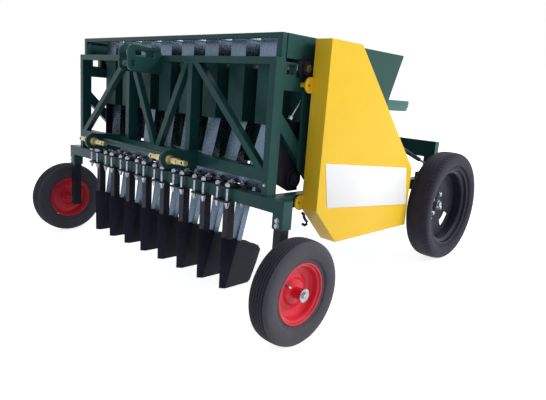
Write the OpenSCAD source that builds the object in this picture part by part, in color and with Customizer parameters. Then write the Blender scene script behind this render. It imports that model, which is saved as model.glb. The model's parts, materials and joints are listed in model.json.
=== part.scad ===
// Eight-row garlic planter for a tractor's three-point hitch, standing on its four wheels.
// The machine is drawn level on its own axes, with the front wheel axle at y = 0, z = 0,
// the hitch towards -Y and the row units under the front toolbar. stance() then leans it
// back until all four tyres touch the floor, and centres it on the floor.

/* [Frame] */
// Width over the outer front posts
frame_w = 1496; // [1480:4:1640]
// Side of the square toolbar tube
bar_size = 50; // [45:1:55]
// Height of the toolbar's underside above the front axle
bar_z = 269; // [260:1:280]
// How far the toolbar's front face stands ahead of the front axle
bar_ahead = 17; // [10:1:24]
// Length of the toolbar beyond each outer post
bar_overhang = 50; // [45:1:60]
// Height of the front frame above the toolbar
front_frame_h = 508; // [493:5:558]
// Height of the top bar of the front frame
top_bar_h = 27; // [20:1:35]
// Height of the lower bar of the front frame
low_bar_h = 47; // [40:1:50]
// Gap between the toolbar and the lower bar
low_bar_gap = 54; // [45:1:60]
// Width of the posts of the front frame
post_w = 30; // [25:1:35]
// Depth of the posts of the front frame
post_d = 50; // [40:1:52]
// Distance from the centre line to the middle of each inner post
inner_post_x = 248; // [200:2:300]
// Width of the slanted front braces
brace_w = 28; // [20:1:34]
// Length of the lower side beams behind the toolbar
side_beam_l = 1230; // [1210:5:1260]
// Height of the rear cross beam
rear_beam_h = 85; // [70:1:90]
// Depth of the rear cross beam
rear_beam_d = 40; // [30:1:50]
// Height of the rear cross beam's underside above the front axle
rear_beam_z = 425; // [400:5:450]

/* [Hopper] */
// Height of the hopper's rim above the front axle
hopper_top = 914; // [900:2:940]
// Distance from the front axle back to the rim's rear edge
hopper_back = 845; // [820:5:880]
// Width of the rim rail
rim = 25; // [20:1:30]
// Height of the rim rail
rim_h = 18; // [15:1:25]
// Thickness of the hopper's sheet
sheet = 3; // [2:0.5:4]
// Distance from the front axle to the hopper's front wall
hopper_front = 200; // [195:1:215]
// Height of the hopper's floor at its lowest
hopper_floor_z = 400; // [390:5:420]

/* [Row units] */
// Number of rows
rows = 8; // [4:1:8]
// Distance between the rows in the soil
row_pitch = 151; // [146:1:156]
// Distance between the elevators
lift_pitch = 171; // [160:1:175]
// Width of each elevator casing
lift_w = 90; // [80:1:94]
// Distance from the front axle to the elevator casings
lift_front = 100; // [95:1:110]
// Height of the lower end of the elevator casings
lift_low = 575; // [560:5:590]
// Thickness of the elevators' sheet
thin = 2; // [1.5:0.5:3]
// Depth of the drop chute
chute_d = 40; // [30:1:46]
// Side of the square shank that carries the opener
shank = 33; // [28:1:35]
// Width over the opener's two wings at their top
shoe_w = 56; // [52:1:60]
// Width over the wings at the sole
sole_w = 38; // [34:1:44]
// Length of the opener from its nose to the back of its wings
shoe_l = 209; // [190:1:220]
// Thickness of the opener's plates
shoe_t = 5; // [4:0.5:6]
// Depth of the opener's sole below the front axle
shoe_low = 111; // [100:1:115]
// Height of the opener's nose above the front axle
shoe_top = 108; // [104:1:114]
// Diameter of the clamp bolts
clamp_bolt = 12; // [10:1:14]
// Distance between the clamp bolts across the row
clamp_bolt_w = 60; // [54:1:64]
// Thickness of the clamp plates
clamp_t = 7; // [5:1:10]

/* [Hitch] */
// Distance between the middles of the two lower hitch plates
lower_hitch_w = 632; // [600:2:660]
// Thickness of the lower hitch plates
hitch_plate_t = 15; // [12:1:20]
// Diameter of the lower hitch pins
hitch_pin_d = 28; // [22:0.1:29]
// Diameter of the pins' outer step
hitch_tip_d = 22; // [18:0.1:22]
// Length of a hitch pin on each side of its plate
hitch_pin_l = 115; // [100:1:118]
// Inner gap between the two top link plates
top_link_gap = 61; // [52:1:70]
// Thickness of the top link plates
mast_t = 12; // [10:1:15]
// Diameter of the top link pin hole
top_link_hole = 25.5; // [19.5:0.1:32]

/* [Chain drive] */
// Width over the outside of the chain guard
guard_x = 857; // [850:1:860]
// Inner edge of the chain guard
guard_in = 780; // [776:1:790]
// Thickness of the guard's sheet
guard_t = 3; // [2:0.5:4]
// Diameter of the drive shafts
shaft_d = 30; // [25:1:35]
// Distance between the chain's rollers
chain_pitch = 25.4; // [25.4:0.1:25.4]

/* [Wheels] */
// Diameter of the front tyres
front_tyre_d = 400; // [380:2:420]
// Width of the front tyres
front_tyre_w = 95; // [80:1:100]
// Gap between each front tyre and the socket of its leg
front_wheel_gap = 23.5; // [15:0.5:60]
// Diameter of the rear tyres
rear_tyre_d = 550; // [530:2:560]
// Width of the rear tyres
rear_tyre_w = 118; // [110:1:125]
// Gap between each rear tyre and the plate that carries its axle
rear_wheel_gap = 53; // [48:1:60]
// Distance of the rear axle ahead of the rear end of the side beams
rear_axle_ahead = 116; // [108:1:120]
// Height of the rear axle above the front axle
rear_axle_z = 199; // [190:1:210]
// Diameter of the axle stubs
axle_d = 25; // [20:0.5:30]
// Running gap between an axle and its hub
axle_gap = 0.05; // [0.02:0.01:0.1]

/* [Hidden] */
$fn = 48;
eps = 0.01;

green = "#1E5547";
steel = "#96AAB4";
black = "#1B1B28";
rubber = "#3E3C42";
red = "#C81E32";
yellow = "#FDD632";
zinc = "#C8B27A";

// Front frame
bar_y0 = -bar_ahead;
bar_y1 = bar_y0 + bar_size;
bar_top = bar_z + bar_size;
post_x1 = frame_w / 2;
post_x0 = post_x1 - post_w;
post_y0 = bar_y0 + 12;
post_y1 = post_y0 + post_d;
frame_top = bar_top + front_frame_h;
top_bar_z = frame_top - top_bar_h;
low_bar_z = bar_top + low_bar_gap;
low_bar_top = low_bar_z + low_bar_h;
bar_half = post_x1 + bar_overhang;

// Front wheel legs: a square bar in a socket at each end of the toolbar
leg_size = 40;
socket_t = 5;
socket_fit = 0.5;
socket_size = leg_size + 2 * socket_t + 2 * socket_fit;
socket_x = bar_half + socket_size / 2;
socket_y = bar_y0 + socket_size / 2;
socket_low = bar_z - 58;
leg_foot = -28;

// Outer ends of the hubs, from the middle of each tyre
front_hub_end = 44;
rear_hub_end = -24;

front_track = socket_x + socket_size / 2 + front_wheel_gap + front_tyre_w / 2;

// Rows
function row_x(i) = (i - (rows - 1) / 2) * row_pitch;
function lift_x(i) = (i - (rows - 1) / 2) * lift_pitch;

// Side frames
side_beam_w = 50;
side_x1 = post_x1 + side_beam_w / 2;
side_x0 = side_x1 - side_beam_w;
side_end = bar_y1 + side_beam_l;
carrier_x1 = side_x1 + 15;
rear_axle_y = side_end - rear_axle_ahead;
rear_track = carrier_x1 + rear_wheel_gap + rear_tyre_w / 2;
upper_beam_z = top_bar_z - 88;
upper_beam_h = 50;

// Lean of the machine when it stands on its four tyres, and the middle of its length
axle_span = norm([rear_axle_y, rear_axle_z]);
lean = atan2(rear_axle_z, rear_axle_y) - asin((rear_tyre_d - front_tyre_d) / 2 / axle_span);
rear_axle_floor_y = rear_axle_y * cos(lean) + rear_axle_z * sin(lean);
middle_y = (rear_axle_floor_y + rear_tyre_d / 2 - front_tyre_d / 2) / 2;

// Elevators
lift_top = hopper_top - 14;
cover_top = top_bar_z + 15;
head_y = (lift_front + hopper_front) / 2;
head_z = top_bar_z - 2;
foot_y = hopper_front - 35;
foot_z = hopper_floor_z - 28;
shaft_hole = shaft_d + 2;

module stance() {
    translate([0, -middle_y, front_tyre_d / 2]) rotate([-lean, 0, 0]) children();
}

// A box from its low and high corners
module block(lo, hi) {
    translate(lo) cube(hi - lo);
}

module both_sides() {
    children();
    mirror([1, 0, 0]) children();
}

// An outline in Y and Z, drawn as wide as x0 to x1
module side_plate(x0, x1) {
    translate([x0, 0, 0]) rotate([90, 0, 90]) linear_extrude(x1 - x0) children();
}

module rod_x(x0, x1, y, z, d) {
    translate([x0, y, z]) rotate([0, 90, 0]) cylinder(d = d, h = x1 - x0);
}

// A straight-sided body through rings of points, each listed from the low ring up
module loft(rings) {
    n = len(rings[0]);
    last = len(rings) - 1;
    polyhedron(points = [for (r = rings) each r], faces = concat([[for (k = [0 : n - 1]) k]],
        [[for (k = [0 : n - 1]) n * (last + 1) - 1 - k]],
        [for (j = [0 : last - 1], k = [0 : n - 1])
            let (a = j * n + k, b = j * n + (k + 1) % n, c = a + n, d = b + n)
            each k < n / 2 ? [[a, c, b], [b, c, d]] : [[a, c, d], [a, d, b]]]));
}

// ---- Frame ----

module toolbar() {
    color(green) stance() block([-bar_half, bar_y0, bar_z], [bar_half, bar_y1, bar_top]);
}

module leg_sockets() {
    wall = socket_size / 2;
    hole = leg_size / 2 + socket_fit;
    color(green) stance() both_sides() translate([socket_x, socket_y, 0]) difference() {
        block([-wall, -wall, socket_low], [wall, wall, bar_top]);
        block([-hole, -hole, socket_low - 1], [hole, hole, bar_top - socket_t]);
    }
}

module wheel_legs() {
    half = leg_size / 2;
    color(black) stance() both_sides() translate([socket_x, socket_y, 0])
        block([-half, -half, leg_foot], [half, half, bar_top - socket_t]);
}

module front_axles() {
    half = leg_size / 2;
    color(steel) stance() both_sides() {
        end = front_track + front_hub_end + 1;
        rod_x(socket_x + half, end, 0, 0, axle_d);
        rod_x(socket_x + half, socket_x + half + 3, 0, 0, axle_d + 12);
        rod_x(end, end + 4, 0, 0, axle_d + 25);
        rod_x(end + 4, end + 11, 0, 0, axle_d + 3, $fn = 6);
    }
}

module front_posts() {
    color(green) stance() both_sides() {
        block([post_x0, post_y0, bar_top], [post_x1, post_y1, top_bar_z]);
        block([inner_post_x - post_w / 2, post_y0, low_bar_top],
            [inner_post_x + post_w / 2, post_y1, top_bar_z]);
    }
}

// The top bar, with the block that the top link's plates are welded to
module top_bar() {
    color(green) stance() {
        block([-post_x1, post_y0, top_bar_z], [post_x1, post_y1, frame_top]);
        block([-mast_x0, post_y0 - 12, mast_low], [mast_x0, post_y0, top_bar_z + 10]);
    }
}

module lower_bar() {
    color(green) stance()
        block([-post_x0, post_y0, low_bar_z], [post_x0, post_y1, low_bar_top]);
}

// Half of a brace's level cut, for braces that fill a bay of width s
brace_fit = 0.2;
function brace_half(s, c = 0, turns = 3) = turns == 0 ? c + brace_fit
    : brace_half(s, brace_w / 2 / sin(atan2(top_bar_z - low_bar_top, s - 2 * c)), turns - 1);

// One brace from the lower bar at xa to the top bar at xb, cut level at both ends
module brace(xa, xb) {
    c = brace_w / 2 / sin(atan2(top_bar_z - low_bar_top, abs(xb - xa)));
    translate([0, post_y0 + brace_w, 0]) rotate([90, 0, 0]) linear_extrude(brace_w)
        polygon([[xa - c, low_bar_top], [xa + c, low_bar_top], [xb + c, top_bar_z],
            [xb - c, top_bar_z]]);
}

module front_braces() {
    inner_x0 = inner_post_x - post_w / 2;
    inner_x1 = inner_post_x + post_w / 2;
    outer_cut = brace_half(post_x0 - inner_x1);
    inner_cut = brace_half(inner_x0);
    color(green) stance() both_sides() {
        brace(post_x0 - outer_cut, inner_x1 + outer_cut);
        brace(inner_cut, inner_x0 - inner_cut);
    }
}

// ---- Hitch ----

mast_x0 = top_link_gap / 2;
mast_x1 = mast_x0 + mast_t;
mast_front = post_y0 - 170;
mast_low = top_bar_z - 54;
mast_high = frame_top + 31;
link_y = mast_front + 26;
link_z = mast_low + 34;

module mast_outline() {
    r = 26;
    difference() {
        union() {
            hull() {
                translate([mast_front + r, mast_low + r]) circle(r);
                translate([mast_front + r, mast_high - r]) circle(r);
                translate([mast_front + 48, mast_low]) square([10, mast_high - mast_low]);
            }
            polygon([[mast_front + r, mast_low], [post_y0, mast_low], [post_y0, frame_top - 4],
                [post_y0 - 14, mast_high - 10], [mast_front + r, mast_high]]);
        }
        translate([link_y, link_z]) circle(d = top_link_hole);
        hull() {
            translate([mast_front + 42, mast_high - 38]) circle(9, $fn = 24);
            translate([mast_front + 42, mast_high - 25]) circle(9, $fn = 24);
            translate([post_y0 - 46, mast_high - 38]) circle(9, $fn = 24);
            translate([post_y0 - 46, mast_high - 29]) circle(9, $fn = 24);
        }
    }
}

module top_link_mast() {
    color(green) stance() both_sides() side_plate(mast_x0, mast_x1) mast_outline();
}

hitch_y = post_y0 - 145;
hitch_z = low_bar_z + 32;
lobe_r = 38;
plate_x0 = lower_hitch_w / 2 - hitch_plate_t / 2;
plate_x1 = plate_x0 + hitch_plate_t;

module hitch_plates() {
    color(green) stance() both_sides() side_plate(plate_x0, plate_x1) difference() {
        union() {
            translate([hitch_y, hitch_z]) circle(lobe_r);
            polygon([[hitch_y, hitch_z - lobe_r], [post_y0, low_bar_z - 12],
                [post_y0, low_bar_top + 16], [hitch_y + 6, hitch_z + lobe_r]]);
        }
        translate([hitch_y, hitch_z]) circle(d = hitch_pin_d);
    }
}

module hitch_pins() {
    step = 70;
    color(zinc) stance() both_sides() translate([lower_hitch_w / 2, hitch_y, hitch_z]) {
        reach = hitch_pin_l + hitch_plate_t / 2;
        rotate([0, 90, 0]) difference() {
            union() {
                translate([0, 0, -step]) cylinder(d = hitch_pin_d, h = 2 * step);
                translate([0, 0, -reach]) cylinder(d = hitch_tip_d, h = 2 * reach);
                translate([0, 0, hitch_plate_t / 2]) cylinder(d = hitch_pin_d + 12, h = 8);
                translate([0, 0, -hitch_plate_t / 2 - 8]) cylinder(d = hitch_pin_d + 12, h = 8);
            }
            for (s = [-1, 1]) translate([0, 0, s * (reach - 14)]) rotate([90, 0, 0])
                cylinder(d = 11, h = 2 * hitch_pin_d, center = true);
        }
    }
}

module hitch_tube() {
    color(green) stance() rod_x(-plate_x0, plate_x0, hitch_y + 50, hitch_z + 2, 28);
}

// ---- Side frames ----

rim_y0 = post_y1 - rim;

module corner_posts() {
    color(green) stance() both_sides()
        block([post_x1 - rim, rim_y0, frame_top], [post_x1, post_y1, shell_top]);
}

module upper_side_beams() {
    color(green) stance() both_sides()
        block([post_x0, post_y1, upper_beam_z], [post_x1, hopper_front, upper_beam_z + upper_beam_h]);
}

// The beams, with the plate on the drive side that carries the lower sprocket
module lower_side_beams() {
    color(green) stance() {
        both_sides() block([side_x0, bar_y1, bar_z], [side_x1, side_end, bar_top]);
        side_plate(side_x1, low_plate_x1) polygon([[low_drive[0] - 70, bar_z + 10],
            [low_drive[0] - 35, low_drive[1] - 38], [low_drive[0] + 35, low_drive[1] - 38],
            [low_drive[0] + 70, bar_z + 10], [low_drive[0] + 70, bar_top],
            [low_drive[0] - 70, bar_top]]);
    }
}

// Diagonal from the outer post down to the lower side beam
brace_drop = 310;
brace_l = 68;

module side_brace(grow) {
    side_plate(post_x0 - grow, post_x1 + grow) offset(delta = grow)
        polygon([[post_y1, bar_top + brace_drop], [post_y1 + brace_drop, bar_top],
            [post_y1 + brace_drop - brace_l, bar_top], [post_y1, bar_top + brace_drop - brace_l]]);
}

module side_braces() {
    color(green) stance() both_sides() side_brace(0);
}

mid_post_y = 600;
mid_post_d = 50;

module rear_posts() {
    color(green) stance() both_sides() {
        block([post_x0, mid_post_y, bar_top], [post_x1, mid_post_y + mid_post_d, floor_z(mid_post_y)]);
        block([side_x0, side_end - rear_beam_d, bar_top], [side_x1, side_end, rear_beam_z]);
    }
}

module rear_beam() {
    half = side_x1 + 9;
    color(green) stance() block([-half, side_end - rear_beam_d, rear_beam_z],
        [half, side_end, rear_beam_z + rear_beam_h]);
}

// ---- Rear wheel carriers ----

module rear_axle_plates() {
    color(green) stance() both_sides() side_plate(side_x1, carrier_x1) difference() {
        union() {
            translate([rear_axle_y, rear_axle_z]) circle(45);
            polygon([[rear_axle_y - 45, rear_axle_z], [rear_axle_y + 45, rear_axle_z],
                [side_end - 10, bar_top], [side_end - 10, bar_top + 40],
                [rear_axle_y - 90, bar_top + 40], [rear_axle_y - 90, bar_top]]);
        }
        translate([rear_axle_y, rear_axle_z]) circle(d = axle_d + 5);
    }
}

module rear_axles() {
    color(steel) stance() both_sides() {
        rod_x(side_x1, carrier_x1 + 6, rear_axle_y, rear_axle_z, axle_d + 5);
        end = rear_track + rear_hub_end + 1;
        rod_x(carrier_x1 + 6, end, rear_axle_y, rear_axle_z, axle_d);
        rod_x(end, end + 4, rear_axle_y, rear_axle_z, axle_d + 15);
        rod_x(end + 4, end + 14, rear_axle_y, rear_axle_z, axle_d + 6, $fn = 6);
    }
}

// Stay from the hopper's lower rear corner to the rear post: a barrel and a threaded rod
strut_top = [hopper_back - 151, 557];
strut_low = [side_end - rear_beam_d, 384];
strut_joint = 0.82;

module strut(from, to, d) {
    way = strut_low - strut_top;
    a = strut_top + way * from;
    slope = atan2(way[1], way[0]);
    translate([post_x1, a[0], a[1]]) rotate([slope - 90, 0, 0])
        cylinder(d = d, h = norm(way) * (to - from));
}

module strut_barrels() {
    color(black) stance() both_sides() difference() {
        strut(-0.03, strut_joint, 22);
        side_plate(post_x0, side_x1) offset(delta = brace_fit) end_outline();
    }
}

module strut_rods() {
    color(steel) stance() both_sides() difference() {
        strut(strut_joint, 1.02, 12);
        block([post_x0, strut_low[0], bar_top], [side_x1, side_end, rear_beam_z]);
    }
}

// ---- Hopper and elevators ----

floor_front_y = hopper_front + 60;
floor_back_y = hopper_back - 151;
floor_back_z = hopper_floor_z + 160;
shell_top = hopper_top - rim_h;
wall_back_y = hopper_back - rim + sheet;
end_plate_y = post_y1 + 106;
brace_slot = 1;

// Outside of the floor at a distance, and of the rear wall at a height
function floor_z(y) = hopper_floor_z
    + (floor_back_z - hopper_floor_z) * (y - floor_front_y) / (floor_back_y - floor_front_y);
function wall_y(z) = floor_back_y
    + (wall_back_y - floor_back_y) * (z - floor_back_z) / (shell_top - floor_back_z);

module end_outline() {
    polygon([[end_plate_y, low_bar_top], [end_plate_y, hopper_top], [hopper_back, hopper_top],
        [hopper_back - 89, hopper_top - 209], [floor_back_y, floor_back_z],
        [floor_back_y - 60, hopper_floor_z], [hopper_front, hopper_floor_z - 30]]);
}

module hopper() {
    t = sheet;
    half = post_x1;
    color(green) stance() difference() {
        union() {
            // Front wall, sloping floor and rear wall in one bent sheet
            side_plate(-half, half) difference() {
                polygon([[hopper_front, hopper_floor_z], [hopper_front, shell_top],
                    [wall_back_y, shell_top], [floor_back_y, floor_back_z],
                    [floor_front_y, hopper_floor_z]]);
                polygon([[hopper_front + t, hopper_floor_z + t], [hopper_front + t, shell_top + 1],
                    [wall_back_y - 1.1 * t, shell_top + 1],
                    [floor_back_y - 1.5 * t, floor_back_z + t / 2],
                    [floor_front_y - t / 2, hopper_floor_z + t]]);
            }
            // End plates, each with the strip that closes the corner above the frame
            both_sides() {
                side_plate(half, half + t) end_outline();
                block([half, post_y1, frame_top], [half + t, end_plate_y, hopper_top]);
            }
        }
        both_sides() side_brace(brace_slot);
        rod_x(-half - 2 * t, half + 2 * t, head_y, head_z, shaft_hole);
    }
}

module rim_rail() {
    color(green) stance() difference() {
        block([-post_x1, rim_y0, shell_top], [post_x1, hopper_back, hopper_top]);
        block([-post_x1 + rim, post_y1, shell_top - 1],
            [post_x1 - rim, hopper_back - rim, hopper_top + 1]);
    }
}

// Closed elevator housings, which the head shaft runs through
module lift_casings() {
    color(steel) stance() for (i = [0 : rows - 1]) difference() {
        block([lift_x(i) - lift_w / 2, lift_front, lift_low],
            [lift_x(i) + lift_w / 2, hopper_front, lift_top]);
        rod_x(lift_x(i) - lift_w, lift_x(i) + lift_w, head_y, head_z, shaft_hole);
    }
}

module lift_covers() {
    color(green) stance() for (i = [0 : rows - 1]) difference() {
        block([lift_x(i) - lift_w / 2 - thin, lift_front - thin, lift_low],
            [lift_x(i) + lift_w / 2 + thin, hopper_front, cover_top]);
        block([lift_x(i) - lift_w / 2, lift_front, lift_low - 1],
            [lift_x(i) + lift_w / 2, hopper_front + 1, cover_top + 1]);
        rod_x(lift_x(i) - lift_w, lift_x(i) + lift_w, head_y, head_z, shaft_hole);
    }
}

// Plates that hold the foot shaft's bearings: one inside the drive-side brace, one on the
// hopper's front wall beside the last elevator
boot_t = 6;
boot_low = bar_top + 4;
boot_x0 = lift_x(0) - lift_w / 2 - 14;

module boot_plates() {
    high = lift_low + 20;
    color(black) stance() difference() {
        union() {
            side_plate(post_x0 - boot_t, post_x0) polygon([[post_y1, high], [post_y1, boot_low + 48],
                [foot_y - 20, boot_low], [hopper_front, boot_low], [hopper_front, high]]);
            side_plate(boot_x0, boot_x0 + boot_t) polygon([[lift_front, high],
                [lift_front, boot_low + 20], [hopper_front, boot_low + 20], [hopper_front, high]]);
        }
        rod_x(-post_x0, post_x0 + 1, foot_y, foot_z, shaft_hole);
    }
}

// ---- Drop chutes ----

// Levels of a chute from its foot to its top: each is [height, front, depth, width]
chute_levels = [[shoe_top - 50, bar_y1 + 8, chute_d * 0.65, shank + 3],
    [bar_z - 31, bar_y1 + 38, chute_d * 0.76, lift_w * 0.62],
    [low_bar_top - 5, lift_front + 12, chute_d, lift_w - 12],
    [lift_low, lift_front + 35, chute_d, lift_w - 6]];

// The foot hangs straight over its row; above it the chute leans out to its elevator
function chute_x(i, z) = let (foot = chute_levels[1][0])
    row_x(i) + (lift_x(i) - row_x(i)) * max(0, z - foot) / (lift_low - foot);

// One level of row i's chute, smaller by a wall of t
function chute_ring(i, level, t) = let (x = chute_x(i, level[0]), h = level[3] / 2 - t,
    y0 = level[1] + t, y1 = level[1] + level[2] - t)
    [[x - h, y0, level[0]], [x + h, y0, level[0]], [x + h, y1, level[0]], [x - h, y1, level[0]]];

module chutes() {
    cut = [0, 0, 1];
    color(steel) stance() for (i = [0 : rows - 1]) {
        core = [for (level = chute_levels) chute_ring(i, level, thin)];
        difference() {
            loft([for (level = chute_levels) chute_ring(i, level, 0)]);
            loft(concat([[for (p = core[0]) p - cut]], core, [[for (p = core[3]) p + cut]]));
        }
    }
}

// Flat rail hung behind the lower bar, with a tab at each end
module chute_rail() {
    rail_y = bar_y1 + 27;
    rail_x = 655;
    rail_t = 5;
    tab_w = 34;
    rail_top = low_bar_z + 17;
    color(steel) stance() {
        block([-rail_x, rail_y, bar_top + 9], [rail_x, rail_y + rail_t, rail_top]);
        both_sides() {
            block([rail_x - tab_w, rail_y, bar_top - 12], [rail_x, rail_y + rail_t, rail_top]);
            block([rail_x - tab_w, post_y1, low_bar_z + 3], [rail_x, rail_y, rail_top]);
        }
    }
}

// ---- Row units under the toolbar ----

leg_top = bar_z - clamp_t;
nose_y = bar_y0 - 9;
sole_nose_y = nose_y + 4;
crease_y = nose_y + 76;
sole_crease_y = sole_nose_y + 18;
shoe_back = nose_y + shoe_l;
shank_y0 = bar_y0 + 9;
shank_y1 = shank_y0 + shank;

// The opener's top edge falls towards the back
function shoe_edge(y) = shoe_top - (y - nose_y) * 0.255;

module shanks() {
    color(black) stance() for (i = [0 : rows - 1])
        side_plate(row_x(i) - shank / 2, row_x(i) + shank / 2) polygon([[shank_y0, leg_top],
            [shank_y0, shoe_edge(shank_y0)], [shank_y1, shoe_edge(shank_y1)],
            [shank_y1, leg_top]]);
}

// Outline of the opener at a height, inside by t: the nose, the two creases and the open back
function shoe_ring(z, t, back) = let (f = (z + shoe_low) / (shoe_top + shoe_low),
    half = (sole_w + (shoe_w - sole_w) * f) / 2, nose = sole_nose_y + (nose_y - sole_nose_y) * f,
    crease = sole_crease_y + (crease_y - sole_crease_y) * f, a = atan2(half, crease - nose),
    y = crease + t * tan(a / 2))
    [[0, nose + t / sin(a), z], [half - t, y, z], [half - t, back, z], [t - half, back, z],
        [t - half, y, z]];

module shoe_loft(t, over) {
    levels = 6;
    high = shoe_top + shoe_low + 2 * over + 2;
    loft([for (k = [0 : levels])
        shoe_ring(-shoe_low - over + high * k / levels, t, shoe_back + over)]);
}

// A band under the opener's top edge from y0 to y1
module edge_band(y0, y1, low, high) {
    side_plate(-shoe_w, shoe_w) polygon([[y0, shoe_edge(y0) - low], [y1, shoe_edge(y1) - low],
        [y1, shoe_edge(y1) + high], [y0, shoe_edge(y0) + high]]);
}

// Hollow shoe that opens the furrow: pointed nose, two wings, and a cap under the shank
module opener() {
    y = shoe_back - 44;
    difference() {
        intersection() {
            shoe_loft(0, 0);
            side_plate(-shoe_w, shoe_w) polygon([[nose_y - 5, shoe_edge(nose_y - 5)],
                [y, shoe_edge(y)], [y + 29, shoe_edge(y) - 15], [y + 44, shoe_edge(y) - 35],
                [y + 27, -25], [y - 1, 11 - shoe_low], [y - 13, 1 - shoe_low],
                [y - 20, -shoe_low - 1], [nose_y - 5, -shoe_low - 1]]);
        }
        difference() {
            shoe_loft(shoe_t, 5);
            edge_band(nose_y - 5, shank_y1, shoe_t, 10);
        }
    }
}

module openers() {
    color(black) stance() for (i = [0 : rows - 1]) translate([row_x(i), 0, 0]) opener();
}

// Places of a clamp's four bolts, drawn ahead of and behind the toolbar
bolt_fit = 0.5;
bolt_front = bar_y0 - clamp_bolt / 2 - 8;
bolt_back = bar_y1 + clamp_bolt / 2 + 7;

module at_clamp_bolts() {
    for (i = [0 : rows - 1], sx = [-1, 1], y = [bolt_front, bolt_back])
        translate([row_x(i) + sx * clamp_bolt_w / 2, y, 0]) children();
}

module clamp_plates() {
    half = clamp_bolt_w / 2 + 8;
    front = bolt_front - 13;
    back = bolt_back + 11;
    color(black) stance() difference() {
        for (i = [0 : rows - 1], z = [leg_top, bar_top])
            block([row_x(i) - half, front, z], [row_x(i) + half, back, z + clamp_t]);
        at_clamp_bolts() translate([0, 0, leg_top - 1])
            cylinder(d = clamp_bolt + 2 * bolt_fit, h = bar_size + 2 * clamp_t + 2);
    }
}

// Bolts with a nut on top and a cone-shaped cap nut below
module clamp_bolts() {
    nut = clamp_bolt * 1.8;
    cap_h = clamp_bolt * 2;
    color(steel) stance() at_clamp_bolts() {
        translate([0, 0, leg_top - clamp_bolt])
            cylinder(d = clamp_bolt, h = bar_size + 2 * clamp_t + 2.4 * clamp_bolt);
        translate([0, 0, bar_top + clamp_t]) cylinder(d = nut, h = clamp_bolt, $fn = 6);
        translate([0, 0, leg_top - cap_h]) cylinder(d1 = clamp_bolt * 0.9, d2 = clamp_bolt * 1.9, h = cap_h);
    }
}

// ---- Drive ----

bearing_h = 20;

module head_shaft() {
    end = post_x1 + sheet + bearing_h + 2;
    color(steel) stance() rod_x(-end, end, head_y, head_z, shaft_d);
}

module foot_shaft() {
    past = bearing_h + 2;
    color(black) stance() rod_x(boot_x0 - past, post_x0 + past, foot_y, foot_z, shaft_d);
}

// Flanged bearing with its back at x
module bearing(x, y, z) {
    translate([x, y, z]) rotate([0, 90, 0]) difference() {
        union() {
            cylinder(r = 42, h = 8);
            cylinder(r = 28, h = bearing_h);
        }
        translate([0, 0, -1]) cylinder(d = shaft_d, h = bearing_h + 2);
    }
}

module bearings() {
    color(black) stance() {
        both_sides() bearing(post_x1 + sheet, head_y, head_z);
        bearing(post_x0, foot_y, foot_z);
        mirror([1, 0, 0]) bearing(-boot_x0, foot_y, foot_z);
    }
}

module takeup_frames() {
    low = upper_beam_z + upper_beam_h;
    color(green) stance() both_sides() side_plate(post_x0, post_x1) difference() {
        translate([post_y1, low]) square([62, 52]);
        translate([post_y1 + 9, low + 8]) square([44, 36]);
    }
}

// Adjusting rod under the drive side's upper beam, with a nut at its free end
module takeup_rod() {
    rod_d = 8;
    free = [post_y1 + 61, upper_beam_z - 107];
    held = [post_y1 + 144, upper_beam_z];
    way = held - free;
    color(steel) stance() difference() {
        translate([post_x0 + post_w / 2, free[0], free[1]]) rotate([-atan2(way[0], way[1]), 0, 0]) {
            cylinder(d = rod_d, h = norm(way) + rod_d / 2);
            cylinder(d = 2.4 * rod_d, h = 1.6 * rod_d, $fn = 6);
        }
        block([0, 0, upper_beam_z], [post_x1 + 1, hopper_front, upper_beam_z + upper_beam_h]);
    }
}

// Sprockets of the chain drive: the places of their middles in Y and Z, and their teeth
top_drive = [240, hopper_top - 79];
low_drive = [760, bar_z - 22];
top_teeth = 13;
low_teeth = 18;
low_plate_x1 = side_x1 + 6;
sprocket_x = (guard_in + guard_x) / 2;
sprocket_t = 8;
roller_d = 15.8;
link_t = 3;

function pitch_r(teeth) = chain_pitch / 2 / sin(180 / teeth);

// Tooth and gap by turns around the pitch circle
function toothed(r, teeth) = [for (i = [0 : 2 * teeth - 1], k = [-0.22, 0.22])
    let (a = (i + k) * 180 / teeth, q = i % 2 == 0 ? r + 5 : r - roller_d / 2)
    [q * cos(a), q * sin(a)]];

module sprocket(place, teeth) {
    translate([sprocket_x - sprocket_t / 2, place[0], place[1]]) rotate([90, 0, 90]) {
        linear_extrude(sprocket_t) difference() {
            polygon(toothed(pitch_r(teeth), teeth));
            circle(d = shaft_d);
            for (a = [0 : 72 : 359]) rotate(a) translate([pitch_r(teeth) * 0.58, 0]) circle(6, $fn = 24);
        }
        translate([0, 0, -16]) linear_extrude(16) difference() {
            circle(d = shaft_d + 16);
            circle(d = shaft_d);
        }
    }
}

module sprockets() {
    color(steel) stance() {
        sprocket(top_drive, top_teeth);
        sprocket(low_drive, low_teeth);
    }
}

module sprocket_shafts() {
    end = sprocket_x + sprocket_t / 2 + 5;
    color(steel) stance() {
        rod_x(post_x1 + sheet, end, top_drive[0], top_drive[1], shaft_d);
        rod_x(low_plate_x1, end, low_drive[0], low_drive[1], shaft_d);
    }
}

module loop(grow) {
    hull() {
        translate(top_drive) circle(pitch_r(top_teeth) + grow);
        translate(low_drive) circle(pitch_r(low_teeth) + grow);
    }
}

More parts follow.
